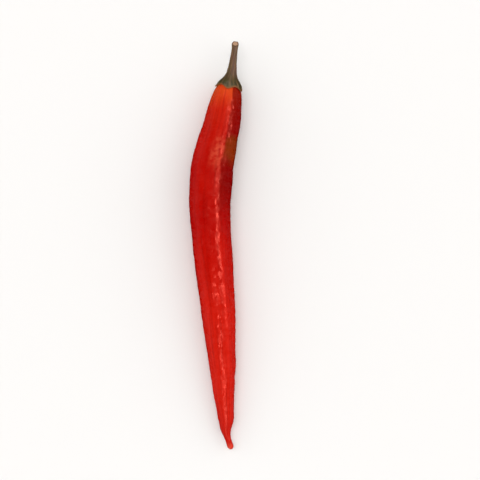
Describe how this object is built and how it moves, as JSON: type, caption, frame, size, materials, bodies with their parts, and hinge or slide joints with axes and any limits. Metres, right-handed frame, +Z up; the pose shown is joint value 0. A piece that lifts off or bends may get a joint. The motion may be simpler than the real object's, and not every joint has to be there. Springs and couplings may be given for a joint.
{
  "type": "chili pepper",
  "caption": "Long red cayenne chili pepper lying on its side: slender curved pod with lengthwise furrows, a hooked tip and a green toothed calyx with a cut stalk.",
  "frame": {"origin": "on the surface that the pepper lies on, under the middle of its outline", "axes": "+Z up, +Y along the pepper towards its stalk, +X to the right seen from above, so the pod bends towards -X"},
  "size_m": [0.031, 0.2376, 0.0231],
  "materials": {
    "pod": "ripe red skin under a thin natural wax, glossy",
    "calyx_and_stem": "green plant tissue, dull with a faint sheen"
  },
  "bodies": {
    "root": {"pod": "pod", "calyx_and_stem": "calyx_and_stem"}
  },
  "joints": []
}
